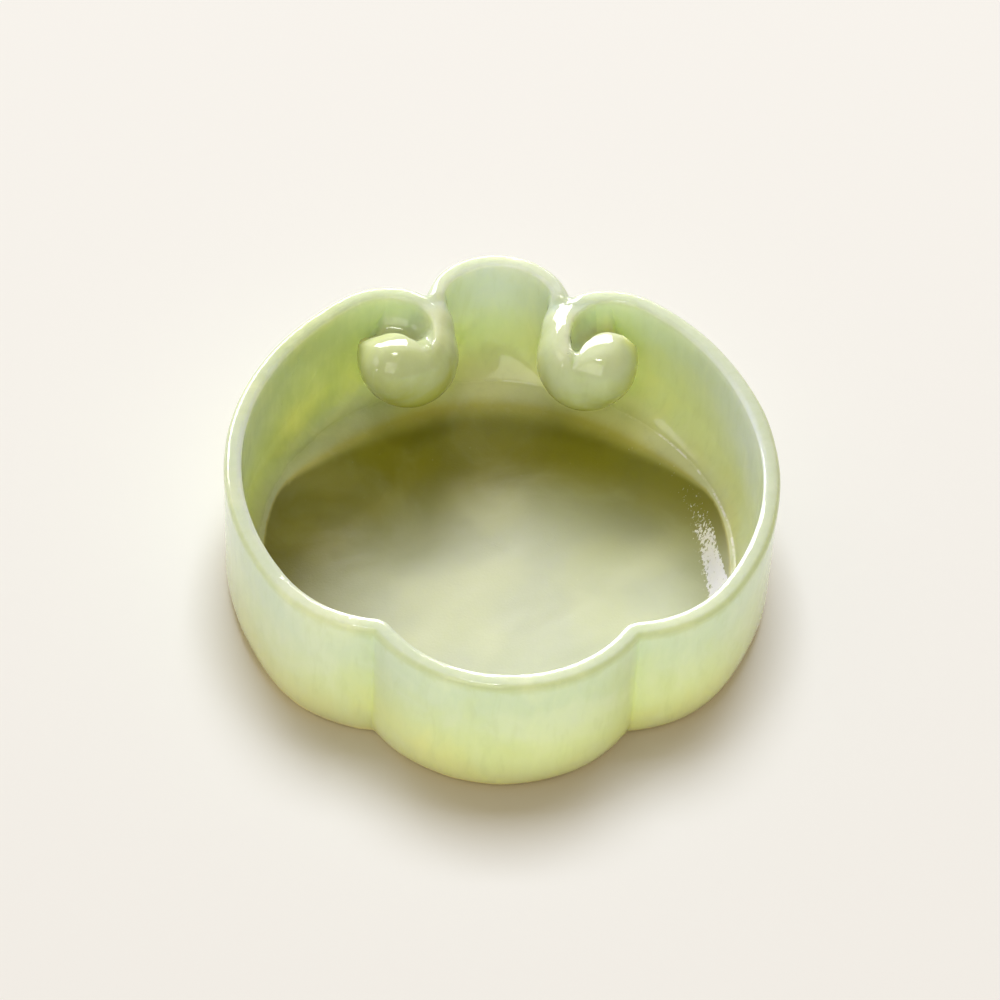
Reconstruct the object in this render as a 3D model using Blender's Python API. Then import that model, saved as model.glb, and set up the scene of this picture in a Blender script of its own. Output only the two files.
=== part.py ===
"""Ruyi-form brush washer carved from one piece of pale green nephrite.

The plan is a cloud scroll: a small back lobe, two large side lobes and a broad
front lobe.  At the two back notches the wall curls into the bowl and ends in a
round scroll, hollowed from above by a spiral groove.
X runs across the washer, Y towards its back and Z up.  The origin is at the
middle of the underside.
"""
import math

import bmesh
import bpy
from mathutils import Matrix, Vector

MM = 0.001
MERGE_DISTANCE = 0.00001
SHARP_ANGLE = 35.0

# Overall sizes in millimetres
HEIGHT = 31.4
BACK_Y = 60.5

# Plan outline of the right half, from the middle of the back to the middle of the
# front, as arcs that meet without a corner: radius, turn in degrees, steps.
# A negative turn is a notch, which bends the other way.
BACK_LOBE = (15.4, 75.0, 13)
BACK_NOTCH = (0.8, -99.0, 7)
SHOULDER = (16.5, 62.0, 9)
FLANK = (60.0, 87.0, 15)
FRONT_CORNER = (27.0, 48.5, 8)
FRONT_NOTCH = (0.8, -49.5, 4)
FRONT_LOBE_STEPS = 12

# Wall, floor and the rounding of their edges
WALL = 3.6
FLOOR = 3.4
FOOT_INSET = 2.6
FOOT_RISE = 6.0
RIM_ROUND_OUTSIDE = 1.3
RIM_ROUND_INSIDE = 0.5
BOWL_RADIUS = 14.0
BOWL_TURN = 50.0
FOOT_STEPS = 5
RIM_STEPS = 4
RIM_INSIDE_STEPS = 2
BOWL_STEPS = 6
WALL_BANDS = 2

# Scrolls at the back notches; places are for the right one.  A scroll is the hull of
# a large ball and of two small ones that carry it on the notch.
BALL_RADIUS = 10.3
BALL_CENTRE = (18.8, 37.9, 22.7)
NECK_RADIUS = 5.0
NECK_CENTRE = (14.6, 43.2)
NECK_HEIGHTS = (27.0, 17.0)
BALL_SEGMENTS = 32
NECK_SEGMENTS = 16
TOP_SOFTNESS = 1.0

# Spiral groove: a horn that winds round the hub of the shoulder arc and widens away
# from the eye until it fills the space up to the wall.  Angles are in degrees.
GROOVE_EYE_ANGLE = 196.0
GROOVE_FULL_ANGLE = 100.0
GROOVE_END_ANGLE = 32.0
GROOVE_INNER_RADIUS = 5.0
GROOVE_EYE_RADIUS = 6.3
GROOVE_HALF_WIDTH = 3.95
GROOVE_EYE_HALF_WIDTH = 0.3
GROOVE_SWELL = 1.5
GROOVE_DEPTH_RATIO = 2.4
GROOVE_STEPS = 16
GROOVE_SIDES = 12


def clear_scene():
    for obj in list(bpy.data.objects):
        bpy.data.objects.remove(obj, do_unlink=True)


def make_collection(name):
    collection = bpy.data.collections.new(name)
    bpy.context.scene.collection.children.link(collection)
    return collection


def add_object(name, bm, collection):
    """Turn a bmesh in millimetres into an object in metres."""
    bmesh.ops.scale(bm, vec=(MM, MM, MM), verts=bm.verts)
    for face in bm.faces:
        face.smooth = True
    mesh = bpy.data.meshes.new(name)
    bm.to_mesh(mesh)
    bm.free()
    obj = bpy.data.objects.new(name, mesh)
    collection.objects.link(obj)
    return obj


def outline_arcs():
    """Centre, radius, sense, start heading, turn and steps of each arc of the half plan."""
    point = Vector((0.0, BACK_Y))
    heading = 0.0
    arcs = []
    for radius, turn, steps in (BACK_LOBE, BACK_NOTCH, SHOULDER, FLANK, FRONT_CORNER, FRONT_NOTCH):
        sense = 1.0 if turn > 0 else -1.0
        centre = point + sense * radius * Vector((math.sin(heading), -math.cos(heading)))
        arcs.append((centre, radius, sense, heading, math.radians(turn), steps))
        heading -= math.radians(turn)
        point = centre + sense * radius * Vector((-math.sin(heading), math.cos(heading)))
    # The front lobe is centred on the middle plane, which settles its radius
    radius = -point.x / math.sin(heading)
    centre = point + radius * Vector((math.sin(heading), -math.cos(heading)))
    arcs.append((centre, radius, 1.0, heading, heading + math.pi, FRONT_LOBE_STEPS))
    return arcs


def plan_ring(arcs, inset):
    """Closed ring of plan points, the given distance inside the outline."""
    half = []
    for centre, radius, sense, heading, turn, steps in arcs:
        reach = sense * radius - inset
        for i in range(steps):
            angle = heading - turn * i / steps
            half.append(centre + reach * Vector((-math.sin(angle), math.cos(angle))))
    centre, radius = arcs[-1][0], arcs[-1][1]
    half.append(centre - (radius - inset) * Vector((0.0, 1.0)))
    half[0].x = 0.0
    half[-1].x = 0.0
    mirrored = [Vector((-p.x, p.y)) for p in reversed(half[1:-1])]
    return half + mirrored


def quarter(steps):
    """Sine and cosine of even steps through a quarter turn, ends left out."""
    return [(math.sin(a), math.cos(a)) for a in (math.pi / 2 * i / steps for i in range(1, steps))]


def wall_profile():
    """Inset and height of each ring: underside, outer wall, rim, inner wall, floor."""
    profile = [(FOOT_INSET, 0.0)]
    for s, c in quarter(FOOT_STEPS):
        profile.append((FOOT_INSET * (1 - s), FOOT_RISE * (1 - c)))
    top = HEIGHT - RIM_ROUND_OUTSIDE
    for i in range(WALL_BANDS + 1):
        profile.append((0.0, FOOT_RISE + (top - FOOT_RISE) * i / WALL_BANDS))
    for s, c in quarter(RIM_STEPS):
        profile.append((RIM_ROUND_OUTSIDE * (1 - c), top + RIM_ROUND_OUTSIDE * s))
    profile.append((RIM_ROUND_OUTSIDE, HEIGHT))
    profile.append((WALL - RIM_ROUND_INSIDE, HEIGHT))
    for s, c in quarter(RIM_INSIDE_STEPS):
        profile.append((WALL - RIM_ROUND_INSIDE * (1 - s), HEIGHT - RIM_ROUND_INSIDE * (1 - c)))
    profile.append((WALL, HEIGHT - RIM_ROUND_INSIDE))
    # The inner wall bends in towards the floor and meets it at a crease
    start = FLOOR + BOWL_RADIUS * math.sin(math.radians(BOWL_TURN))
    for i in range(BOWL_STEPS + 1):
        angle = math.radians(BOWL_TURN) * i / BOWL_STEPS
        profile.append((WALL + BOWL_RADIUS * (1 - math.cos(angle)), start - BOWL_RADIUS * math.sin(angle)))
    return profile


def make_bowl(name, collection):
    """Loft the wall profile round the plan, closed by the underside and the floor."""
    arcs = outline_arcs()
    bm = bmesh.new()
    rings = []
    for inset, z in wall_profile():
        rings.append([bm.verts.new((p.x, p.y, z)) for p in plan_ring(arcs, inset)])
    count = len(rings[0])
    for low, high in zip(rings, rings[1:]):
        for i in range(count):
            j = (i + 1) % count
            bm.faces.new((low[i], high[i], high[j], low[j]))
    bm.faces.new(rings[0])
    bm.faces.new(list(reversed(rings[-1])))
    bmesh.ops.recalc_face_normals(bm, faces=bm.faces)
    return add_object(name, bm, collection)


def press_under_rim(z):
    """Lower a height smoothly so that it stays under the rim."""
    return HEIGHT - TOP_SOFTNESS * math.log1p(math.exp((HEIGHT - z) / TOP_SOFTNESS))


def make_scroll(name, side, collection):
    """Drop-shaped hull of the ball and its neck, with its top pressed under the rim."""
    balls = [(BALL_CENTRE, BALL_RADIUS, BALL_SEGMENTS)]
    balls += [((*NECK_CENTRE, height), NECK_RADIUS, NECK_SEGMENTS) for height in NECK_HEIGHTS]
    bm = bmesh.new()
    for (x, y, z), radius, segments in balls:
        bmesh.ops.create_uvsphere(bm, u_segments=segments, v_segments=segments // 2, radius=radius,
                                  matrix=Matrix.Translation((side * x, y, z)))
    bmesh.ops.delete(bm, geom=bm.edges[:], context="EDGES_FACES")
    hull = bmesh.ops.convex_hull(bm, input=bm.verts)
    unused = [g for g in hull["geom_interior"] if isinstance(g, bmesh.types.BMVert)]
    bmesh.ops.delete(bm, geom=unused, context="VERTS")
    for vert in bm.verts:
        vert.co.z = press_under_rim(vert.co.z)
    bmesh.ops.recalc_face_normals(bm, faces=bm.faces)
    return add_object(name, bm, collection)


def groove_point(t, hub):
    """Place and half width of the groove at the share t of its way from the eye."""
    angle = GROOVE_EYE_ANGLE + (GROOVE_END_ANGLE - GROOVE_EYE_ANGLE) * t
    opened = min(1.0, (GROOVE_EYE_ANGLE - angle) / (GROOVE_EYE_ANGLE - GROOVE_FULL_ANGLE))
    ease = math.sin(math.pi / 2 * opened) ** GROOVE_SWELL
    half_width = GROOVE_EYE_HALF_WIDTH + (GROOVE_HALF_WIDTH - GROOVE_EYE_HALF_WIDTH) * ease
    inner = GROOVE_EYE_RADIUS + (GROOVE_INNER_RADIUS - GROOVE_EYE_RADIUS) * min(1.0, 2 * opened)
    reach = inner + half_width
    return hub + reach * Vector((math.cos(math.radians(angle)), math.sin(math.radians(angle)))), half_width


def make_groove(name, side, collection):
    """Horn-shaped cutter: a swept tube, deeper than wide, that opens away from the eye."""
    hub = outline_arcs()[2][0]
    curve = bpy.data.curves.new(name, "CURVE")
    curve.dimensions = "3D"
    curve.twist_mode = "Z_UP"
    curve.bevel_depth = MM
    curve.bevel_resolution = (GROOVE_SIDES - 4) // 2
    curve.use_fill_caps = True
    spline = curve.splines.new("POLY")
    spline.points.add(GROOVE_STEPS)
    for i, point in enumerate(spline.points):
        place, half_width = groove_point(i / GROOVE_STEPS, hub)
        point.co = (side * place.x * MM, place.y * MM, 0.0, 1.0)
        point.radius = half_width
    tube = bpy.data.objects.new(name + "_tube", curve)
    collection.objects.link(tube)
    bpy.context.view_layer.update()
    mesh = bpy.data.meshes.new_from_object(tube.evaluated_get(bpy.context.evaluated_depsgraph_get()))
    bpy.data.objects.remove(tube, do_unlink=True)
    bm = bmesh.new()
    bm.from_mesh(mesh)
    bpy.data.meshes.remove(mesh)
    bmesh.ops.remove_doubles(bm, verts=bm.verts, dist=MERGE_DISTANCE)
    bmesh.ops.scale(bm, vec=(1 / MM, 1 / MM, GROOVE_DEPTH_RATIO / MM), verts=bm.verts)
    bmesh.ops.translate(bm, vec=(0, 0, HEIGHT), verts=bm.verts)
    bmesh.ops.recalc_face_normals(bm, faces=bm.faces)
    return add_object(name, bm, collection)


def add_boolean(target, tool, operation):
    modifier = target.modifiers.new(operation.lower() + "_" + tool.name, "BOOLEAN")
    modifier.object = tool
    modifier.operation = operation
    modifier.solver = "EXACT"
    tool.hide_render = True
    tool.display_type = "WIRE"


def jade_material():
    material = bpy.data.materials.new("pale_green_jade")
    material.use_nodes = True
    shader = material.node_tree.nodes["Principled BSDF"]
    shader.inputs["Base Color"].default_value = (0.50, 0.56, 0.33, 1.0)
    shader.inputs["Roughness"].default_value = 0.22
    shader.inputs["Metallic"].default_value = 0.0
    return material


def build():
    clear_scene()
    parts = make_collection("ruyi_brush_washer")
    cutters = make_collection("carving_tools")
    washer = make_bowl("brush_washer", parts)
    for side, label in ((1, "right"), (-1, "left")):
        add_boolean(washer, make_scroll("scroll_" + label, side, cutters), "UNION")
        add_boolean(washer, make_groove("groove_" + label, side, cutters), "DIFFERENCE")
    washer.data.materials.append(jade_material())
    washer.data.set_sharp_from_angle(angle=math.radians(SHARP_ANGLE))


build()
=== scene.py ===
"""Finish of a ruyi-form brush washer carved from pale green nephrite.

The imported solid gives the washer's place, size and rough form.  Here its surface is
cut fine, laid on a smooth carved form (lobed wall, rounded rim, scrolls that grow out
of the wall, spiral grooves) and polished as jade, on a plain floor in studio light.
All lengths are in metres.
"""
import math

import bpy
import numpy as np
from bpy.props import FloatProperty, FloatVectorProperty, IntProperty, PointerProperty
from bpy.types import Operator, Panel, PropertyGroup
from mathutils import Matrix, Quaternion, Vector


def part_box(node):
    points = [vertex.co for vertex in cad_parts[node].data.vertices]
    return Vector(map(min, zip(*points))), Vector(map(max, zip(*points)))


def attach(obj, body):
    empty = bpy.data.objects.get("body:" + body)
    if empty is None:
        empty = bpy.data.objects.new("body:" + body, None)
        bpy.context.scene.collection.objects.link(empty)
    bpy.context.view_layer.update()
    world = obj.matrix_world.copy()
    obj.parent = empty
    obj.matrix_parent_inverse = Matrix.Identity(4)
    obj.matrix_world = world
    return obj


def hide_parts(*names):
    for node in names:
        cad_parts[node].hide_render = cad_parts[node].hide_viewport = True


bl_info = {
    "name": "Jade Brush Washer",
    "version": (1, 0, 0),
    "blender": (4, 5, 0),
    "location": "3D View > Sidebar > Jade Washer",
    "description": "Carves and polishes a ruyi-form jade brush washer and sets it in a studio",
    "category": "Object",
}

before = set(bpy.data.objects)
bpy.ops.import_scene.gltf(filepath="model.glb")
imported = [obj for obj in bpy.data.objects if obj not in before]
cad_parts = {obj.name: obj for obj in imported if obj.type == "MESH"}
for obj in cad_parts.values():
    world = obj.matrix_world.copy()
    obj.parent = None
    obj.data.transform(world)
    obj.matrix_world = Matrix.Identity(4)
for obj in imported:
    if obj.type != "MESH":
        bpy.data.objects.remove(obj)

MM = 0.001
NODE = "brush_washer"
WASHER = "jade_washer"
SLOT = "pale_green_jade"
LOW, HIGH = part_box(NODE)
HEIGHT = HIGH.z
BACK = HIGH.y

# Plan outline of one half, from the middle of the back to the front lobe, as arcs that
# meet without a corner: radius and turn in degrees.  A negative turn is a notch.
OUTLINE_ARCS = (
    (15.4 * MM, 75.0),
    (0.8 * MM, -99.0),
    (16.5 * MM, 62.0),
    (60.0 * MM, 87.0),
    (27.0 * MM, 48.5),
    (0.8 * MM, -49.5),
)
SHOULDER_ARC = 2

# Places in plan, reaches and heights of the bulges that hand carving left in the wall
BULGES = (
    ((36 * MM, 38 * MM), 17 * MM, 0.45 * MM),
    ((-36 * MM, 38 * MM), 15 * MM, -0.20 * MM),
)
SLIM_FOOT = ((-38 * MM, -38 * MM), 24 * MM, 1.0 * MM)
# Shares of the wall between which the rim's outer edge passes into the inner
RIM_HALVES = (0.4, 0.7)
# Where the rim's outer edge is rounded more, beside each back notch
NOTCH_EDGE = ((13.5 * MM, 47.0 * MM), 4.0 * MM)
# Middle and reach of a darker patch at the back left of the bowl, painted shade, and of lighter blue-grey
# patches high in the inner wall, a painted sheen
SHADE = ((-40 * MM, 33 * MM), 26 * MM)
BLUE_SHEENS = (
    ((-2 * MM, 57 * MM), 13 * MM),
    ((-54 * MM, 4 * MM), 30 * MM),
    ((56 * MM, 10 * MM), 22 * MM),
)
# Where the outside of the wall is darker, painted shade towards its sides, as distances from the middle plane
FLANKS = (44 * MM, 57 * MM)
# Middle and half axes of the milky part of the floor, a painted sheen; outside it the floor passes into a
# dark yellow-green, painted shade
SHEEN_ZONE = ((7 * MM, -21 * MM), (57 * MM, 50 * MM))
# Width over which the floor's colour sets in at its edge, in front and at the back, and
# the places towards the back between which one width passes into the other
# The wide width at the back lets the floor's painted shade fade in slowly
FLOOR_EDGE = (0.8 * MM, 14.0 * MM)
FLOOR_EDGE_BACK = (14 * MM, 37 * MM)
# Heights over the floor between which the masks of the floor end
FLOOR_REACH = (4.0 * MM, 6.0 * MM)
# Where the lap's satin sets in, as distances in from the floor's edge
LAPPED_EDGE = (-1.8 * MM, 0.0 * MM)
# Radius of the thin white line round the floor's edge, a painted highlight
GLINT_LINE = 48.9 * MM
# Where a frosted ledge runs along the floor's edge, painted white as a glint of the key light: middle and
# reach, distances from the edge at which it sets in and fades, and how far and where it veers in
LEDGE = ((42 * MM, -10 * MM), 21 * MM)
LEDGE_START = (-0.8 * MM, -0.3 * MM)
LEDGE_END = (2.0 * MM, 5.5 * MM)
LEDGE_VEER = 3.0 * MM
LEDGE_VEER_BACK = (-16 * MM, 4 * MM)
# Depths under the rim at which the masks of its top and of its outer edge end and are
# full, and how far in from the outside the outer edge reaches
RIM_TOP = (1.6 * MM, 0.5 * MM)
RIM_EDGE = (2.2 * MM, 1.2 * MM)
RIM_EDGE_DEPTH = (0.5 * MM, 0.9 * MM)
# Heights between which the painted blue-grey sheen sets in
BLUE_SHEEN_RISE = (8 * MM, 24 * MM)

# Angles of a groove about its hub: where it starts, where it opens into the bowl, where
# its inner side runs out, and where its angle jumps from end to start
GROOVE_EYE_ANGLE = 196.0
GROOVE_OPEN_ANGLES = (62.0, 88.0)
GROOVE_END_ANGLES = (15.0, 60.0)
GROOVE_WRAP = 280.0
GROOVE_RUN_OUT = 4.0 * MM
# Fall of the open groove's bottom over its half width, and its clearance from the wall
GROOVE_FALL = 1.2
WALL_CLEARANCE = 0.5 * MM

# Outer crease of the flat band that winds into a scroll: angles about its hub, and the
# radius at each for the right scroll and the left
CREASE_ANGLES = (85, 93, 105, 119, 132, 149, 165, 193, 262, 280)
CREASE_RADII = (
    (20.0, 16.5, 15.4, 13.9, 12.4, 10.2, 8.6, 6.7, 9.0, 20.0),
    (20.0, 16.8, 16.0, 15.0, 14.2, 12.3, 10.4, 7.5, 9.0, 20.0),
)
# The scrolls shape only what lies further back, and nearer the middle plane, than this
NEAR_SCROLLS = (20 * MM, 45 * MM)
# Most of a dome's radius that its slope spans, on the pearl and on the band
DOME_SPAN = (0.8, 0.35)
# Angles between which the band sinks to the pearl's dome, and a shoulder's slope starts
# and ends, and places towards the back between which it ends at the back lobe
BAND_SINK_ANGLES = (140.0, 193.0)
SHOULDER_BACK_ANGLES = (50.0, 82.0)
SHOULDER_FRONT_ANGLES = (200.0, 245.0)
SHOULDER_END = (46.0 * MM, 48.5 * MM)

# Low waves that grinding and polishing by hand leave: count, lengths and height
GRIND_WAVES = (14, (9 * MM, 34 * MM), 0.012 * MM)
POLISH_WAVES = (16, (2.2 * MM, 6 * MM), 0.0022 * MM)
WAVE_SEED = 5

# Where the floor's edge passes from the outline's course to a round arc, and the least and
# largest radius on which the wall bends in to meet it
LAP_BACK = (-5 * MM, 20 * MM)
BEND_RADII = (1 * MM, 26 * MM)

# Step of the slopes that are measured on the form, length of one move towards it at most,
# least squared slope that a move counts with, and moves after the coarse cut, the fine cut
# and the thinning
SLOPE_STEP = 0.005 * MM
LONGEST_MOVE = 0.6 * MM
LEAST_STEEPNESS = 0.05
LAY_MOVES = (12, 1, 3)

# Masks that the mesh carries for its material
MASKS = ("floor", "worn_and_sheen", "lapped", "ledge", "rim", "edge", "scroll", "shade", "blue_sheen")

# Turns in plan, in degrees, and stretch of textures that run one way: the floor's scratches,
# the specks of the frosted ledge, and the stone's grain with its veins and fibres
SCRATCH_TURNS = (62.0, -38.0)
SCRATCH_STRETCH = 14.0
SPECK_TURN = 70.0
SPECK_STRETCH = 2.5
GRAIN_TURN = 24.0
VEIN_STRETCH = 2.8
FIBRE_STRETCH = 3.5
# Strength of the fibres, and depth of the frost over that of the lap's marks
FIBRE_SHARE = 0.10
FROST_DEPTH = 2.5
# Refractive index of nephrite
REFRACTION = 1.61

# Lights: bearing left of straight back and elevation in degrees, distance and size in
# metres, brightness over that of lit white paper, colour, and the one object that it lights
LIGHTS = (
    ("key", 16.0, 30.0, 2.0, (1.6, 0.8), 13.5, (1.0, 1.0, 0.97), WASHER),
    ("top", 0.0, 68.0, 3.0, (1.5, 1.5), 10.9, (0.82, 0.885, 0.99), "studio_floor"),
    ("over", 150.0, 76.0, 2.0, (0.5, 0.25), 12.0, (1.0, 1.0, 1.0), WASHER),
    ("front", 160.0, 38.0, 2.5, (1.6, 1.6), 1.7, (1.0, 1.0, 0.88), WASHER),
    ("window", 96.0, 24.0, 1.5, (0.6, 0.5), 1.4, (1.0, 1.0, 1.0), WASHER),
    ("spark", 116.0, 11.0, 1.5, (0.07, 0.12), 12.0, (1.0, 1.0, 1.0), WASHER),
)


def length(name, description, millimetres):
    return FloatProperty(
        name=name,
        description=description,
        default=millimetres * MM,
        subtype="DISTANCE",
        unit="LENGTH",
        precision=5,
    )


def colour(name, description, default):
    return FloatVectorProperty(name=name, description=description, default=default, subtype="COLOR", size=3)


def number(name, description, default):
    return FloatProperty(name=name, description=description, default=default)


def pair(name, description, right, left):
    text = f"{description}, for the right scroll and the left"
    return FloatVectorProperty(name=name, description=text, default=(right, left), size=2, precision=5)


class WallSizes(PropertyGroup):
    """Wall, floor and edges of the bowl."""

    wall: length("Wall", "Thickness of the wall", 3.6)
    floor: length("Floor", "Thickness of the floor", 3.4)
    foot_inset: length("Foot inset", "How far the foot turns in under the wall", 2.6)
    foot_rise: length("Foot rise", "Height over which the foot turns in", 6.0)
    rim_outside: length("Outer rim round", "Radius of the rim's outer edge", 1.0)
    rim_inside: length("Inner rim round", "Radius of the rim's inner edge", 0.4)
    rim_crown: length("Rim crown", "Height of the rim's middle over its edges", 0.24)
    rim_flat: number("Rim flat", "Flat share of the rim between its two bevels", 0.45)
    notch_round: length("Notch round", "Added radius of the rim's outer edge at a notch", 1.6)
    bowl_radius: length("Bowl radius", "Radius on which the inner wall bends in", 11.0)
    lap_radius: length("Lap radius", "Radius of the floor's edge round the back", 48.5)
    floor_blend: length("Floor blend", "Width of the fillet round the floor", 0.6)
    floor_rise: length("Floor rise", "How far the floor rises to its edge", 0.65)
    floor_edge: length("Floor edge", "Width of the floor's rising edge", 5.0)
    bowl_turn: FloatProperty(
        name="Bowl turn",
        description="Angle through which the inner wall bends in",
        default=math.radians(50.0),
        subtype="ANGLE",
        unit="ROTATION",
    )


class ScrollSizes(PropertyGroup):
    """Scrolls and their spiral grooves; places are for the right one."""

    ball_radius: length("Ball radius", "Radius of a scroll's ball", 10.3)
    ball_x: length("Ball across", "Distance of a ball from the middle plane", 18.8)
    ball_y: length("Ball back", "Place of a ball towards the back", 37.9)
    ball_z: length("Ball height", "Height of a ball's centre", 22.3)
    pearl_radius: length("Pearl radius", "Radius of the pearl on a ball", 7.0)
    pearl_x: length("Pearl across", "Distance of a pearl from the middle plane", 21.6)
    pearl_y: length("Pearl back", "Place of a pearl towards the back", 33.4)
    pearl_z: length("Pearl height", "Height of a pearl's centre", 24.1)
    neck_radius: length("Neck radius", "Radius of the neck that carries a ball", 5.0)
    neck_x: length("Neck across", "Distance of a neck from the middle plane", 14.6)
    neck_y: length("Neck back", "Place of a neck towards the back", 43.2)
    neck_top: length("Neck top", "Height of the neck's upper ball", 26.1)
    neck_foot: length("Neck foot", "Height of the neck's lower ball", 17.0)
    shoulder_x: length("Shoulder across", "Distance of a shoulder from the middle plane", 16.4)
    shoulder_y: length("Shoulder back", "Place of a shoulder towards the back", 46.6)
    shoulder_inset: length("Shoulder inset", "How far a shoulder stays inside the wall's outside", 2.2)
    dome_radius: length("Dome radius", "Radius of the dome on top of a pearl", 14.0)
    dome_x: pair("Dome across", "Distance of a dome's top from the middle plane", 23.0 * MM, 20.5 * MM)
    dome_y: pair("Dome back", "Place of a dome's top towards the back", 33.5 * MM, 31.0 * MM)
    shoulder_fall: number("Shoulder fall", "Slope of a shoulder beside the band", 0.27)
    shoulder_reach: length("Shoulder reach", "Width over which a shoulder falls", 8.0)
    shoulder_flat: length("Shoulder flat", "Width of a shoulder's slope before it rolls over", 2.2)
    shoulder_roll: length("Shoulder roll", "Radius on which a shoulder rolls over", 4.0)
    neck_blend: length("Neck blend", "Width of the blend within a scroll", 1.5)
    wall_blend: length("Wall blend", "Width of the blend from a scroll to the wall", 3.2)
    groove_inside: length("Groove inside", "Radius of the groove's inner side about its hub", 4.7)
    half_width: length("Groove half width", "Half width of the open groove", 3.95)
    eye_half_width: length("Eye half width", "Half width of the groove at its eye", 0.3)
    eye_radius: pair("Eye radius", "Radius at which the groove starts", 6.3 * MM, 7.0 * MM)
    full_angle: pair("Full angle", "Angle in degrees at which the groove is fully wide", 100.0, 110.0)
    swell: pair("Groove swell", "How early the groove widens", 1.0, 1.4)
    eye_depth: pair("Eye depth", "Depth of the groove over its half width near the eye", 2.4, 0.9)
    full_depth: number("Full depth", "Depth of the open groove over its half width", 1.55)
    edge_round: pair("Groove edge round", "Radius of the groove's edges", 0.35 * MM, 0.8 * MM)


class JadeFinish(PropertyGroup):
    """Colours and polish of the stone."""

    mint: colour("Mint", "Stone near the rim", (0.54, 0.64, 0.56))
    rim: colour("Rim", "Stone on top of the rim", (0.46, 0.52, 0.45))
    edge: colour("Edge", "Stone along the rim's outer edge", (0.37, 0.44, 0.18))
    leaf: colour("Leaf", "Stone in the middle of the wall", (0.59, 0.67, 0.46))
    honey: colour("Honey", "Stone near the foot", (0.67, 0.70, 0.40))
    # Dark yellow-green of the floor at the back, painted shade
    shaded_olive: colour("Olive", "Stone of the floor at the back", (0.22, 0.21, 0.012))
    amber: colour("Amber", "Stone at the floor's edge", (0.50, 0.48, 0.14))
    # Milky colour of the floor in front, a painted sheen of the key light on the satin floor
    worn_and_sheen: colour("Worn", "Stone of the floor where use has worn it milky", (0.54, 0.59, 0.44))
    deep: colour("Deep", "Stone of the scrolls, where it is thick", (0.57, 0.60, 0.15))
    # Darker green for dark fibres in the stone, and for painted shade at the back left of the bowl and on the
    # outer flanks
    shade: colour("Shade", "Darker cloud in the stone", (0.36, 0.42, 0.22))
    # Lighter blue-grey high on the inner wall, a painted sheen of the bright studio
    blue_sheen: colour("Mist", "Blue-grey mists in the inner wall", (0.58, 0.66, 0.74))
    # Bright yellow along the foot's thin edge, a painted glow of light passing through the stone
    foot: colour("Foot", "Stone at the foot's thin edge", (0.98, 0.90, 0.46))
    milk: colour("Milk", "Pale clouds and veins in the stone", (0.75, 0.80, 0.62))
    # White on the frosted ledge and on the thin line round the floor's edge, painted highlights
    frost_and_glint: colour("Frost", "Stone bruised white along the ledge", (0.94, 0.95, 0.91))
    cloud_size: length("Cloud size", "Size of the clouds in the stone", 22.0)
    vein_size: length("Vein size", "Length of the veins in the stone", 9.0)
    fibre_size: length("Fibre size", "Width of the fibres in the stone", 2.4)
    scatter: FloatVectorProperty(
        name="Scatter",
        description="How far red, green and blue light travel in the stone",
        default=(1.0, 1.0, 0.65),
        size=3,
    )
    scatter_length: length("Scatter length", "Length that the scatter values multiply", 11.0)
    polish: number("Polish", "Roughness of the polished wall", 0.06)
    floor_satin: number("Floor satin", "Roughness of the worn floor", 0.40)
    lap_depth: length("Lap depth", "Depth of the lap's marks on the floor", 0.02)
    polish_depth: length("Polish depth", "Depth of the pits that polishing left", 0.003)


class StudioSettings(PropertyGroup):
    """Floor, lights and camera."""

    floor_colour: colour("Floor", "Colour of the studio floor", (0.88, 0.86, 0.83))
    fill_colour: colour("Fill colour", "Colour of the light from all round", (1.0, 0.83, 0.56))
    fill: number("Fill", "Strength of the light from all round", 0.42)
    lens: number("Lens", "Focal length in millimetres", 132.73)
    roll: FloatProperty(
        name="Roll",
        description="Turn of the camera about its axis",
        default=math.radians(3.5),
        subtype="ANGLE",
        unit="ROTATION",
    )
    camera: FloatVectorProperty(
        name="Camera",
        description="Place of the camera",
        default=(-0.03255, -0.51359, 0.56318),
        subtype="TRANSLATION",
        size=3,
        precision=5,
    )
    aim: FloatVectorProperty(
        name="Aim",
        description="Point that the camera looks at",
        default=(0.00014, 0.00335, 0.01567),
        subtype="TRANSLATION",
        size=3,
        precision=5,
    )


class MeshSettings(PropertyGroup):
    """How finely the surface is cut."""

    grain: length("Grain", "Size of the cells that the solid is cut into", 0.4)
    triangles: IntProperty(name="Triangles", description="Most triangles of the washer", default=188000)


def outline_arcs():
    """Centre, radius, sense, middle bearing and half turn of each arc of the half plan."""
    x, y, heading = 0.0, BACK, 0.0
    arcs = []
    for radius, degrees in OUTLINE_ARCS:
        turn = math.radians(degrees)
        sense = math.copysign(1.0, turn)
        centre = (x + sense * radius * math.sin(heading), y - sense * radius * math.cos(heading))
        arcs.append((*centre, radius, sense, heading - turn / 2, abs(turn) / 2))
        heading -= turn
        x = centre[0] - sense * radius * math.sin(heading)
        y = centre[1] + sense * radius * math.cos(heading)
    # The front lobe is centred on the middle plane, which settles its radius
    radius = -x / math.sin(heading)
    turn = heading + math.pi
    arcs.append((0.0, y - radius * math.cos(heading), radius, 1.0, heading - turn / 2, turn / 2))
    return arcs


def round_max(a, b, radius):
    """Larger of two distances, with the edge between them rounded off."""
    qa, qb = a + radius, b + radius
    corner = np.hypot(np.maximum(qa, 0), np.maximum(qb, 0))
    return corner + np.minimum(np.maximum(qa, qb), 0) - radius


def soft_max(a, b, width):
    """Larger of two distances, blended over the width."""
    share = np.maximum(width - np.abs(a - b), 0) / width
    return np.maximum(a, b) + share * share * width / 4


def soft_min(a, b, width):
    return -soft_max(-a, -b, width)


def ease(value, low, high):
    """Smooth step from 0 at low to 1 at high."""
    t = np.clip((value - low) / (high - low), 0, 1)
    return t * t * (3 - 2 * t)


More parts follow.
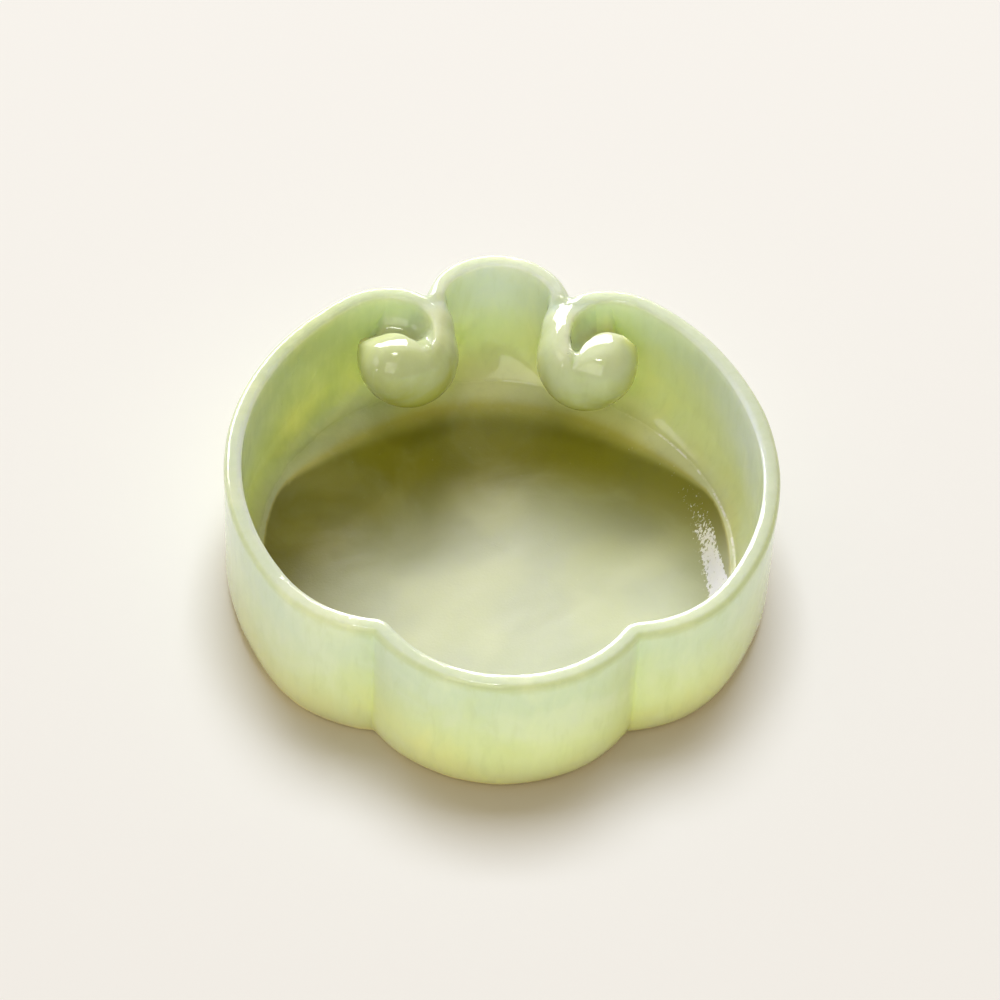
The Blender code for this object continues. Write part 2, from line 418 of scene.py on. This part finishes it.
def mound(x, y, place, reach):
    """Smooth bump of height 1 in plan."""
    return np.exp(-((x - place[0]) ** 2 + (y - place[1]) ** 2) / reach**2)


def drop_distance(points, ball, ball_radius, tip, tip_radius):
    """Distance to a ball and a smaller one joined by a cone."""
    axis = np.subtract(tip, ball)
    span = np.linalg.norm(axis)
    axis = axis / span
    taper = (ball_radius - tip_radius) / span
    slant = taper / math.sqrt(1 - taper * taper)
    offset = points - ball
    along = offset @ axis
    aside = np.sqrt(np.maximum((offset**2).sum(axis=1) - along**2, 0))
    foot = np.clip(along - aside * slant, 0, span)
    return np.hypot(aside, along - foot) - (ball_radius - foot * taper)


class CarvedForm:
    """Signed distance to the washer's smooth surface, negative in the stone."""

    def __init__(self, walls, scrolls):
        self.walls = walls
        self.scrolls = scrolls
        self.arcs = outline_arcs()
        self.hub = self.arcs[SHOULDER_ARC][:2]
        self.bend_share = 1 - math.cos(walls.bowl_turn)

    def depth(self, x, y):
        """Depth in from the plan outline, with the hand-made bulges of this washer."""
        across = np.abs(x)
        depth = np.full(x.shape, 1.0)
        for cx, cy, radius, sense, middle, half in self.arcs:
            dx, dy = across - cx, y - cy
            bearing = np.arctan2(-sense * dx, sense * dy) - middle
            bearing = np.abs((bearing + math.pi) % (2 * math.pi) - math.pi)
            inside = sense * (radius - np.hypot(dx, dy))
            facing = (bearing <= half + 1e-6) & (np.abs(inside) < np.abs(depth))
            depth = np.where(facing, inside, depth)
        for place, reach, bulge in BULGES:
            depth = depth + bulge * mound(x, y, place, reach)
        return depth

    def floor_inset(self, depth, x, y):
        """Distance in from the floor's edge, which is one round arc at the back."""
        w = self.walls
        front = depth - w.wall - w.bowl_radius * self.bend_share
        back = w.lap_radius - np.hypot(x, y)
        return front + (back - front) * ease(y, *LAP_BACK)

    def open_bowl(self, depth, x, y, z):
        """The bowl with walls that run on upwards."""
        w = self.walls
        slim = SLIM_FOOT[2] * mound(x, y, SLIM_FOOT[0], SLIM_FOOT[1])
        inset = w.foot_inset - slim
        qx, qz = (inset - depth) / inset, (w.foot_rise - z) / w.foot_rise
        foot = (np.hypot(np.maximum(qx, 0), np.maximum(qz, 0)) - 1) * inset
        outside = np.where((qx > 0) & (qz > 0), foot, np.maximum(-depth, -z))
        inner = self.floor_inset(depth, x, y)
        rise = w.floor_rise * np.clip(1 - inner / w.floor_edge, 0, 1) ** 2
        radius = np.clip((depth - w.wall - inner) / self.bend_share, *BEND_RADII)
        bend = w.floor + radius * math.sin(w.bowl_turn)
        across = inner - radius * math.cos(w.bowl_turn)
        curl = np.where((across < 0) & (z < bend), np.hypot(across, z - bend) - radius, -1)
        wall = np.maximum(w.wall - depth, curl)
        hollow = soft_max(wall, w.floor + rise - z, w.floor_blend)
        return np.maximum(outside, -hollow)

    def scroll(self, points, depth, side):
        """Ball, pearl, neck and shoulder of one scroll, before its top is cut at the rim."""
        s = self.scrolls
        ball = (side * s.ball_x, s.ball_y, s.ball_z)
        drops = []
        for height in (s.neck_top, s.neck_foot):
            tip = (side * s.neck_x, s.neck_y, height)
            drops.append(drop_distance(points, ball, s.ball_radius, tip, s.neck_radius))
        neck = (side * s.neck_x, s.neck_y, s.neck_top)
        shoulder = (side * s.shoulder_x, s.shoulder_y, s.neck_top)
        roll = drop_distance(points, neck, s.neck_radius, shoulder, s.neck_radius)
        drops.append(round_max(roll, s.shoulder_inset - depth, self.walls.rim_outside))
        pearl = (side * s.pearl_x, s.pearl_y, s.pearl_z)
        drops.append(np.linalg.norm(points - pearl, axis=1) - s.pearl_radius)
        whole = drops[0]
        for drop in drops[1:]:
            whole = soft_min(whole, drop, s.neck_blend)
        return whole

    def near_scrolls(self, x, y):
        return (y > NEAR_SCROLLS[0]) & (np.abs(x) < NEAR_SCROLLS[1])

    def about_hub(self, x, y, side):
        """Distance from a scroll's hub and angle about it in degrees."""
        dx, dy = side * x - self.hub[0], y - self.hub[1]
        angle = np.degrees(np.arctan2(dy, dx)) % 360
        return np.hypot(dx, dy), np.where(angle > GROOVE_WRAP, angle - 360, angle)

    def top_fall(self, x, y, side):
        """How far the top of one scroll lies below the rim: on its pearl and its shoulder."""
        s = self.scrolls
        turn = 0 if side > 0 else 1
        reach, angle = self.about_hub(x, y, side)
        aside = np.hypot(side * x - s.dome_x[turn], y - s.dome_y[turn])
        band = reach > s.groove_inside + s.half_width
        aside = np.minimum(aside, np.where(band, DOME_SPAN[1], DOME_SPAN[0]) * s.dome_radius)
        dome = s.dome_radius - np.sqrt(s.dome_radius**2 - aside**2)
        dome = dome * np.where(band, ease(angle, *BAND_SINK_ANGLES), 1)
        crease = MM * np.interp(angle, CREASE_ANGLES, CREASE_RADII[turn])
        past = np.clip(reach - crease, 0, s.shoulder_reach)
        rolled = np.maximum(past - s.shoulder_flat, 0) ** 2 / (2 * s.shoulder_roll)
        kept = ease(angle, *SHOULDER_BACK_ANGLES) * (1 - ease(angle, *SHOULDER_FRONT_ANGLES))
        return dome + (s.shoulder_fall * past + rolled) * kept * (1 - ease(y, *SHOULDER_END))

    def groove(self, points, side, open_outside):
        """Horn that winds round the shoulder's centre and widens away from the eye."""
        s = self.scrolls
        turn = 0 if side > 0 else 1
        x, y, z = points.T
        reach, angle = self.about_hub(x, y, side)
        opened = np.clip((GROOVE_EYE_ANGLE - angle) / (GROOVE_EYE_ANGLE - s.full_angle[turn]), 0, 1)
        widened = 1 - (1 - opened) ** s.swell[turn]
        half = s.eye_half_width + (s.half_width - s.eye_half_width) * widened
        eye = s.eye_radius[turn]
        inside = eye + (s.groove_inside - eye) * np.minimum(1, 2 * opened)
        inside = inside + GROOVE_RUN_OUT * (1 - ease(angle, *GROOVE_END_ANGLES))
        aside = (reach - inside - half) / half
        steep = s.eye_depth[turn] + (s.full_depth - s.eye_depth[turn]) * ease(opened, 0.4, 0.8)
        down = (HEIGHT - self.walls.rim_crown - z) / (half * steep)
        past = np.maximum(angle - GROOVE_EYE_ANGLE, 0)
        if open_outside:
            shut = ease(angle, *GROOVE_OPEN_ANGLES)
            down = down - GROOVE_FALL * (1 - shut) * np.maximum(aside, 0)
            aside = np.where(aside > 0, aside * shut, aside)
        else:
            past = np.maximum(past, GROOVE_OPEN_ANGLES[0] - angle)
        horn = (np.hypot(aside, down) - 1) * half
        return np.hypot(np.maximum(horn, 0), reach * np.radians(past)) + np.minimum(horn, 0)

    def top_cut(self, form, depth, x, y, z):
        """The form cut at the rim, crowned along its middle and rounded at its edges."""
        w = self.walls
        aside = np.minimum(np.abs(2 * depth / w.wall - 1), 1)
        crown = w.rim_crown * np.maximum(aside - w.rim_flat, 0) / (1 - w.rim_flat)
        outside = w.rim_outside + w.notch_round * mound(np.abs(x), y, *NOTCH_EDGE)
        edge = outside + (w.rim_inside - outside) * ease(depth / w.wall, *RIM_HALVES)
        near = self.near_scrolls(x, y)
        fall = np.where(x > 0, self.top_fall(x, y, 1), self.top_fall(x, y, -1))
        return round_max(form, z - HEIGHT + crown + np.where(near, fall, 0), edge)

    def surface(self, points):
        """Signed distance before the marks of grinding and polishing."""
        x, y, z = points.T
        s = self.scrolls
        depth = self.depth(x, y)
        form = self.open_bowl(depth, x, y, z)
        near = self.near_scrolls(x, y)
        some, bowl = points[near], form[near]
        for side in (1, -1):
            form[near] = soft_min(form[near], self.scroll(some, depth[near], side), s.wall_blend)
        form = self.top_cut(form, depth, x, y, z)
        for side, edge in zip((1, -1), s.edge_round):
            form[near] = round_max(form[near], -self.groove(some, side, False), edge)
            opened = np.minimum(-self.groove(some, side, True), bowl - WALL_CLEARANCE)
            form[near] = round_max(form[near], opened, edge)
        return form

    def distance(self, points):
        return self.surface(points) - waves(points, *GRIND_WAVES) - waves(points, *POLISH_WAVES)

    def masks(self, points):
        """Share from 0 to 1 of each kind of surface at each point, by name."""
        x, y, z = points.T
        w = self.walls
        depth = self.depth(x, y)
        low = 1 - ease(z - w.floor, *FLOOR_REACH)
        soft = FLOOR_EDGE[0] + (FLOOR_EDGE[1] - FLOOR_EDGE[0]) * ease(y, *FLOOR_EDGE_BACK)
        inner = self.floor_inset(depth, x, y)
        past = inner - LEDGE_VEER * ease(y, *LEDGE_VEER_BACK)
        ledge = ease(past, *LEDGE_START) * (1 - ease(past, *LEDGE_END))
        top = 1 - ease(HEIGHT - z, RIM_TOP[1], RIM_TOP[0])
        edge = (1 - ease(HEIGHT - z, RIM_EDGE[1], RIM_EDGE[0])) * (1 - ease(depth, *RIM_EDGE_DEPTH))
        flank = ease(np.abs(x), *FLANKS) * (1 - ease(depth, 0.0, w.wall))
        blue_sheen = sum(mound(x, y, *place) for place in BLUE_SHEENS) * ease(z, *BLUE_SHEEN_RISE)
        (cx, cy), (rx, ry) = SHEEN_ZONE
        scrolls = np.minimum(self.scroll(points, depth, 1), self.scroll(points, depth, -1))
        bowl = self.open_bowl(depth, x, y, z)
        return {
            "floor": low * ease(inner / soft, 0, 1),
            "lapped": low * ease(inner, *LAPPED_EDGE),
            # Painted sheen in front, passing into painted shade at the back
            "worn_and_sheen": 1 - ease(np.hypot((x - cx) / rx, (y - cy) / ry), 0.4, 1.0),
            "scroll": (1 - ease(scrolls, 0.0, 3.0 * MM)) * ease(bowl, 0.0, 4.0 * MM),
            # Painted shade: a darker patch at the back left and on the outer flanks
            "shade": np.maximum(mound(x, y, *SHADE), 0.7 * flank),
            # Painted sheen: lighter blue-grey high on the inner wall
            "blue_sheen": blue_sheen * ease(depth, 0.6 * w.wall, w.wall),
            # The ledge carries a painted glint
            "ledge": low * ledge * mound(x, y, *LEDGE),
            "rim": top * (1 - ease(depth, w.wall, 1.5 * w.wall)),
            "edge": edge,
        }


def slope(field, points):
    """Gradient of a field, measured across each axis."""
    slopes = np.empty_like(points)
    for axis in range(3):
        step = np.zeros(3)
        step[axis] = SLOPE_STEP
        slopes[:, axis] = field(points + step) - field(points - step)
    return slopes / (2 * SLOPE_STEP)


def waves(points, count, lengths, height):
    """Sum of sine waves in directions of their own."""
    rng = np.random.default_rng(WAVE_SEED)
    total = np.zeros(len(points))
    for _ in range(count):
        direction = rng.normal(size=3)
        direction /= np.linalg.norm(direction)
        wave = rng.uniform(*lengths)
        total += np.sin(points @ direction * (2 * math.pi / wave) + rng.uniform(0, 2 * math.pi))
    return height * total


def evaluated_mesh(obj):
    graph = bpy.context.evaluated_depsgraph_get()
    return bpy.data.meshes.new_from_object(obj.evaluated_get(graph))


def apply_modifier(obj, kind, **values):
    """Run one modifier on an object and keep its result."""
    modifier = obj.modifiers.new(kind.lower(), kind)
    for name, value in values.items():
        setattr(modifier, name, value)
    mesh = evaluated_mesh(obj)
    obj.modifiers.clear()
    old = obj.data
    obj.data = mesh
    bpy.data.meshes.remove(old)


def mesh_points(mesh):
    flat = np.empty(len(mesh.vertices) * 3, np.float32)
    mesh.vertices.foreach_get("co", flat)
    return flat.reshape(-1, 3).astype(float)


def lay_on_form(mesh, form, moves):
    """Move every vertex along the slope of the form until it lies on the surface."""
    points = mesh_points(mesh)
    for _ in range(moves):
        slopes = slope(form.surface, points)
        steep = np.maximum((slopes**2).sum(axis=1), LEAST_STEEPNESS)
        shift = slopes * (form.distance(points) / steep)[:, None]
        far = np.maximum(np.linalg.norm(shift, axis=1) / LONGEST_MOVE, 1)
        points -= shift / far[:, None]
    mesh.vertices.foreach_set("co", points.astype(np.float32).ravel())
    mesh.update()
    return points


def carve_washer(walls, scrolls, cut):
    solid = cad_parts[NODE]
    washer = bpy.data.objects.new(WASHER, solid.data.copy())
    bpy.context.scene.collection.objects.link(washer)
    form = CarvedForm(walls, scrolls)
    for grain, moves in zip((2 * cut.grain, cut.grain), LAY_MOVES):
        apply_modifier(washer, "REMESH", mode="VOXEL", voxel_size=grain)
        lay_on_form(washer.data, form, moves)
    count = sum(len(face.vertices) - 2 for face in washer.data.polygons)
    apply_modifier(washer, "DECIMATE", ratio=cut.triangles / count)
    points = lay_on_form(washer.data, form, LAY_MOVES[2])
    normals = slope(form.distance, points)
    normals /= np.linalg.norm(normals, axis=1)[:, None]
    washer.data.shade_smooth()
    washer.data.normals_split_custom_set_from_vertices(normals)
    for name, mask in form.masks(points).items():
        attribute = washer.data.attributes.new(name, "FLOAT", "POINT")
        attribute.data.foreach_set("value", mask.astype(np.float32))
    return washer


def add(tree, kind, inputs=None, **settings):
    """Shader node with its own settings, and its inputs as values or linked sockets."""
    node = tree.nodes.new("ShaderNode" + kind)
    for name, value in settings.items():
        setattr(node, name, value)
    for name, value in (inputs or {}).items():
        feed(tree, (node.inputs[name],), (value,))
    return node


def feed(tree, sockets, values):
    """Give each socket its value, or link it to the socket that is given."""
    for socket, value in zip(sockets, values):
        if isinstance(value, bpy.types.NodeSocket):
            tree.links.new(value, socket)
        elif socket.type == "RGBA":
            socket.default_value = (*value, 1)
        else:
            socket.default_value = value


def mix_colours(tree, share, first, second):
    node = add(tree, "Mix", data_type="RGBA")
    feed(tree, (node.inputs[0], node.inputs[6], node.inputs[7]), (share, first, second))
    return node.outputs[2]


def mix_numbers(tree, share, first, second):
    node = add(tree, "Mix", data_type="FLOAT")
    feed(tree, (node.inputs[0], node.inputs[2], node.inputs[3]), (share, first, second))
    return node.outputs[0]


def math_node(tree, operation, *values):
    node = add(tree, "Math", operation=operation)
    feed(tree, node.inputs, values)
    return node.outputs[0]


def spread(tree, value, low, high, first=0.0, last=1.0):
    """Smooth passage from the first value at low to the last at high."""
    inputs = {"Value": value, "From Min": low, "From Max": high, "To Min": first, "To Max": last}
    return add(tree, "MapRange", inputs, interpolation_type="SMOOTHSTEP").outputs[0]


def noise(tree, place, size, detail=3.0, roughness=0.5, distortion=0.0, kind="FBM"):
    inputs = {"Vector": place, "Scale": 1 / size, "Detail": detail, "Roughness": roughness}
    inputs["Distortion"] = distortion
    return add(tree, "TexNoise", inputs, noise_type=kind).outputs[0]


def stretched(tree, place, turn, stretch):
    """Place along axes turned about the vertical, in which a texture is drawn out."""
    inputs = {"Vector": place, "Rotation": (0, 0, math.radians(turn)), "Scale": stretch}
    return add(tree, "Mapping", inputs, vector_type="TEXTURE").outputs[0]


def stone_colour(tree, finish, masks, place, height):
    """Colour of the unbruised stone: its zones, clouds, veins and fibres."""
    clouds = noise(tree, place, finish.cloud_size, 4.0, 0.55, 0.6)
    drawn = stretched(tree, place, GRAIN_TURN, (1.0, 1.0, VEIN_STRETCH))
    veins = noise(tree, drawn, finish.vein_size, 6.0, 0.6, 1.4, "RIDGED_MULTIFRACTAL")
    drawn = stretched(tree, place, GRAIN_TURN, (1.0, 1.0, FIBRE_STRETCH))
    fibres = noise(tree, drawn, finish.fibre_size, 3.0, 0.6, 0.3)

    # Zones from the foot up to the rim, shifted up and down by the clouds
    level = math_node(tree, "ADD", math_node(tree, "DIVIDE", height, HEIGHT), clouds)
    level = math_node(tree, "SUBTRACT", level, 0.5)
    body = mix_colours(tree, spread(tree, level, 0.05, 0.5), finish.honey, finish.leaf)
    body = mix_colours(tree, spread(tree, level, 0.4, 0.9), body, finish.mint)
    # Rim and edge colours; the blue sheen among them is a painted sheen of lighter blue-grey high on the
    # inner wall
    for name, share in (("rim", 0.6), ("edge", 0.35), ("blue_sheen", 0.75)):
        masked = math_node(tree, "MULTIPLY", masks[name], share)
        body = mix_colours(tree, masked, body, getattr(finish, name))
    # Painted shade: darker green at the back left of the bowl and on the wall's outer flanks
    shaded = math_node(tree, "MULTIPLY", masks["shade"], spread(tree, clouds, 0.3, 0.6, 0.25, 0.6))
    body = mix_colours(tree, shaded, body, finish.shade)
    # Painted glow: bright yellow at the foot's thin edge, where light passes through the stone
    foot = spread(tree, height, 2.4 * MM, 0.6 * MM, 0.0, 0.9)
    body = mix_colours(tree, foot, body, finish.foot)
    thick = math_node(tree, "MULTIPLY", masks["scroll"], spread(tree, level, 0.5, 1.0, 1.0, 0.3))
    body = mix_colours(tree, thick, body, finish.deep)

    # The floor, with its amber edge: dark yellow-green at the back is painted shade, and the milky part in
    # front is a painted sheen
    floor = mix_colours(tree, masks["worn_and_sheen"], finish.shaded_olive, finish.worn_and_sheen)
    body = mix_colours(tree, spread(tree, masks["floor"], 0.0, 0.4), body, finish.amber)
    body = mix_colours(tree, spread(tree, masks["floor"], 0.25, 1.0), body, floor)

    # Clouds, veins and fibres, which are weaker on the floor
    milky = math_node(
        tree, "MULTIPLY", spread(tree, clouds, 0.46, 0.70), spread(tree, masks["floor"], 0.0, 1.0, 0.30, 0.10)
    )
    body = mix_colours(tree, milky, body, finish.milk)
    veined = math_node(
        tree, "MULTIPLY", spread(tree, veins, 0.9, 1.7), spread(tree, masks["floor"], 0.0, 1.0, 0.22, 0.05)
    )
    body = mix_colours(tree, veined, body, finish.milk)
    off_floor = spread(tree, masks["floor"], 0.0, 1.0, FIBRE_SHARE, 0.0)
    for far, tint in ((0.7, finish.milk), (0.3, finish.shade)):
        fibre = math_node(tree, "MULTIPLY", spread(tree, fibres, 0.5, far), off_floor)
        body = mix_colours(tree, fibre, body, tint)
    return body


def glints_and_frost(tree, masks, place, across, height, mottle):
    """Share of the surface that is painted white: the frosted ledge, a painted glint, and a thin line round
    the floor's edge, a painted highlight.
    """
    specks = stretched(tree, place, SPECK_TURN, (SPECK_STRETCH, 1.0, 1.0))
    specks = noise(tree, specks, 0.4 * MM, 2.0, 0.7, 0.4)
    frost_and_glint = spread(tree, math_node(tree, "MULTIPLY_ADD", masks["ledge"], 0.55, specks), 0.74, 0.86)
    plan = add(tree, "VectorMath", {0: place, 1: (1, 1, 0)}, operation="MULTIPLY").outputs[0]
    reach = add(tree, "VectorMath", {0: plan}, operation="LENGTH").outputs["Value"]
    # Painted highlight: a thin white line round the floor's edge
    off_line = math_node(tree, "ABSOLUTE", math_node(tree, "SUBTRACT", reach, GLINT_LINE))
    line = spread(tree, off_line, 0.32 * MM, 0.12 * MM)
    for share in (
        spread(tree, height, 5.5 * MM, 4.5 * MM),
        spread(tree, across, 24 * MM, 38 * MM),
        spread(tree, mottle, 0.46, 0.56, 0.1, 0.8),
    ):
        line = math_node(tree, "MULTIPLY", line, share)
    return math_node(tree, "MAXIMUM", frost_and_glint, line)


def lap_marks(tree, place):
    """Pits and scratches of the lapped floor, as a height from 0 to about 2."""
    scratches = []
    for turn in SCRATCH_TURNS:
        lines = noise(tree, stretched(tree, place, turn, (SCRATCH_STRETCH, 1.0, 1.0)), 0.4 * MM, 2.0, 0.6)
        scratches.append(spread(tree, lines, 0.70, 0.80))
    scratched = math_node(tree, "MAXIMUM", *scratches)
    pits = noise(tree, place, 0.55 * MM, 3.0, 0.6)
    return math_node(tree, "MULTIPLY_ADD", pits, 1.4, scratched)


def jade_material(finish):
    material = bpy.data.materials.new(SLOT)
    material.use_nodes = True
    tree = material.node_tree
    shader = tree.nodes["Principled BSDF"]
    place = add(tree, "TexCoord").outputs["Object"]
    across, _, height = add(tree, "SeparateXYZ", {"Vector": place}).outputs
    masks = {name: add(tree, "Attribute", attribute_name=name).outputs["Fac"] for name in MASKS}
    mottle = noise(tree, place, 3.2 * MM, 4.0, 0.65)

    body = stone_colour(tree, finish, masks, place, height)
    # Painted highlights: white along the frosted ledge and on a thin line round the floor's edge
    frost_and_glint = glints_and_frost(tree, masks, place, across, height, mottle)
    body = mix_colours(tree, frost_and_glint, body, finish.frost_and_glint)

    polish = spread(tree, mottle, 0.3, 0.7, 0.7 * finish.polish, 1.5 * finish.polish)
    satin = spread(tree, mottle, 0.3, 0.7, 0.85 * finish.floor_satin, 1.15 * finish.floor_satin)
    rough = mix_numbers(tree, masks["lapped"], polish, satin)

    lapped = math_node(tree, "MULTIPLY", masks["lapped"], finish.lap_depth)
    deep = math_node(tree, "MULTIPLY", lap_marks(tree, place), lapped)
    frosted = math_node(tree, "MULTIPLY", frost_and_glint, FROST_DEPTH * finish.lap_depth)
    shallow = math_node(tree, "MULTIPLY", mottle, finish.polish_depth)
    relief = math_node(tree, "ADD", math_node(tree, "ADD", deep, frosted), shallow)
    bump = add(tree, "Bump", {"Height": relief, "Distance": 1.0, "Strength": 1.0})

    tree.links.new(body, shader.inputs["Base Color"])
    tree.links.new(rough, shader.inputs["Roughness"])
    tree.links.new(bump.outputs[0], shader.inputs["Normal"])
    shader.inputs["IOR"].default_value = REFRACTION
    shader.inputs["Subsurface Weight"].default_value = 1.0
    shader.inputs["Subsurface Radius"].default_value = finish.scatter
    shader.inputs["Subsurface Scale"].default_value = finish.scatter_length
    return material


class WASHER_OT_carve(Operator):
    """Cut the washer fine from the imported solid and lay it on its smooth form"""

    bl_idname = "jade_washer.carve"
    bl_label = "Carve washer"

    def execute(self, context):
        scene = context.scene
        washer = carve_washer(scene.washer_walls, scene.washer_scrolls, scene.washer_mesh)
        washer.data.materials.clear()
        washer.data.materials.append(jade_material(scene.washer_finish))
        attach(washer, "root")
        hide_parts(NODE)
        return {"FINISHED"}


def area_light(name, bearing, elevation, distance, size, brightness, tint, target):
    """Panel that faces the washer from a bearing left of straight back."""
    turn, lift = math.radians(bearing), math.radians(elevation)
    level = math.cos(lift)
    towards = Vector((-math.sin(turn) * level, math.cos(turn) * level, math.sin(lift)))
    light = bpy.data.lights.new(name, "AREA")
    light.shape = "RECTANGLE"
    light.size, light.size_y = size
    light.energy = brightness * math.pi * size[0] * size[1]
    light.color = tint
    lamp = bpy.data.objects.new(name, light)
    lamp.location = towards * distance
    lamp.rotation_mode = "QUATERNION"
    lamp.rotation_quaternion = (-towards).to_track_quat("-Z", "Y")
    bpy.context.scene.collection.objects.link(lamp)
    lit = bpy.data.collections.new("lit by " + name)
    lit.objects.link(bpy.data.objects[target])
    lamp.light_linking.receiver_collection = lit


def place_camera(studio):
    camera = bpy.data.cameras.new("camera")
    camera.lens = studio.lens
    camera.sensor_width = 36.0
    camera.clip_start = 0.01
    camera.clip_end = 20.0
    stand = bpy.data.objects.new("camera", camera)
    stand.location = studio.camera
    look = (Vector(studio.aim) - Vector(studio.camera)).to_track_quat("-Z", "Y")
    stand.rotation_mode = "QUATERNION"
    stand.rotation_quaternion = look @ Quaternion((0, 0, 1), studio.roll)
    bpy.context.scene.collection.objects.link(stand)
    bpy.context.scene.camera = stand


class WASHER_OT_studio(Operator):
    """Lay the pale floor and set up the lights and the camera"""

    bl_idname = "jade_washer.studio"
    bl_label = "Build studio"

    def execute(self, context):
        studio = context.scene.washer_studio
        bpy.ops.mesh.primitive_plane_add(size=12.0)
        floor = context.active_object
        floor.name = "studio_floor"
        material = bpy.data.materials.new("studio_floor")
        material.use_nodes = True
        shader = material.node_tree.nodes["Principled BSDF"]
        shader.inputs["Base Color"].default_value = (*studio.floor_colour, 1)
        shader.inputs["Roughness"].default_value = 0.9
        shader.inputs["Specular IOR Level"].default_value = 0.1
        floor.data.materials.append(material)
        world = bpy.data.worlds.new("studio")
        world.use_nodes = True
        world.node_tree.nodes["Background"].inputs["Color"].default_value = (*studio.fill_colour, 1)
        world.node_tree.nodes["Background"].inputs["Strength"].default_value = studio.fill
        context.scene.world = world
        for light in LIGHTS:
            area_light(*light)
        place_camera(studio)
        context.scene.view_settings.view_transform = "Standard"
        context.scene.view_settings.look = "None"
        return {"FINISHED"}


class WASHER_PT_panel(Panel):
    """Steps and values of the jade washer"""

    bl_idname = "WASHER_PT_panel"
    bl_label = "Jade Washer"
    bl_space_type = "VIEW_3D"
    bl_region_type = "UI"
    bl_category = "Jade Washer"

    def draw(self, context):
        layout = self.layout
        for operator in OPERATORS:
            layout.operator(operator.bl_idname)
        for name in SETTINGS:
            settings = getattr(context.scene, name)
            box = layout.box()
            for field in settings.__annotations__:
                box.prop(settings, field)


OPERATORS = (WASHER_OT_carve, WASHER_OT_studio)
SETTINGS = {
    "washer_walls": WallSizes,
    "washer_scrolls": ScrollSizes,
    "washer_finish": JadeFinish,
    "washer_mesh": MeshSettings,
    "washer_studio": StudioSettings,
}


def register():
    for group in SETTINGS.values():
        bpy.utils.register_class(group)
    for operator in OPERATORS:
        bpy.utils.register_class(operator)
    bpy.utils.register_class(WASHER_PT_panel)
    for name, group in SETTINGS.items():
        setattr(bpy.types.Scene, name, PointerProperty(type=group))


def unregister():
    for name in SETTINGS:
        delattr(bpy.types.Scene, name)
    bpy.utils.unregister_class(WASHER_PT_panel)
    for operator in reversed(OPERATORS):
        bpy.utils.unregister_class(operator)
    for group in reversed(SETTINGS.values()):
        bpy.utils.unregister_class(group)


def main():
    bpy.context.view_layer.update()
    register()
    bpy.ops.jade_washer.carve()
    bpy.ops.jade_washer.studio()


if __name__ == "__main__":
    main()
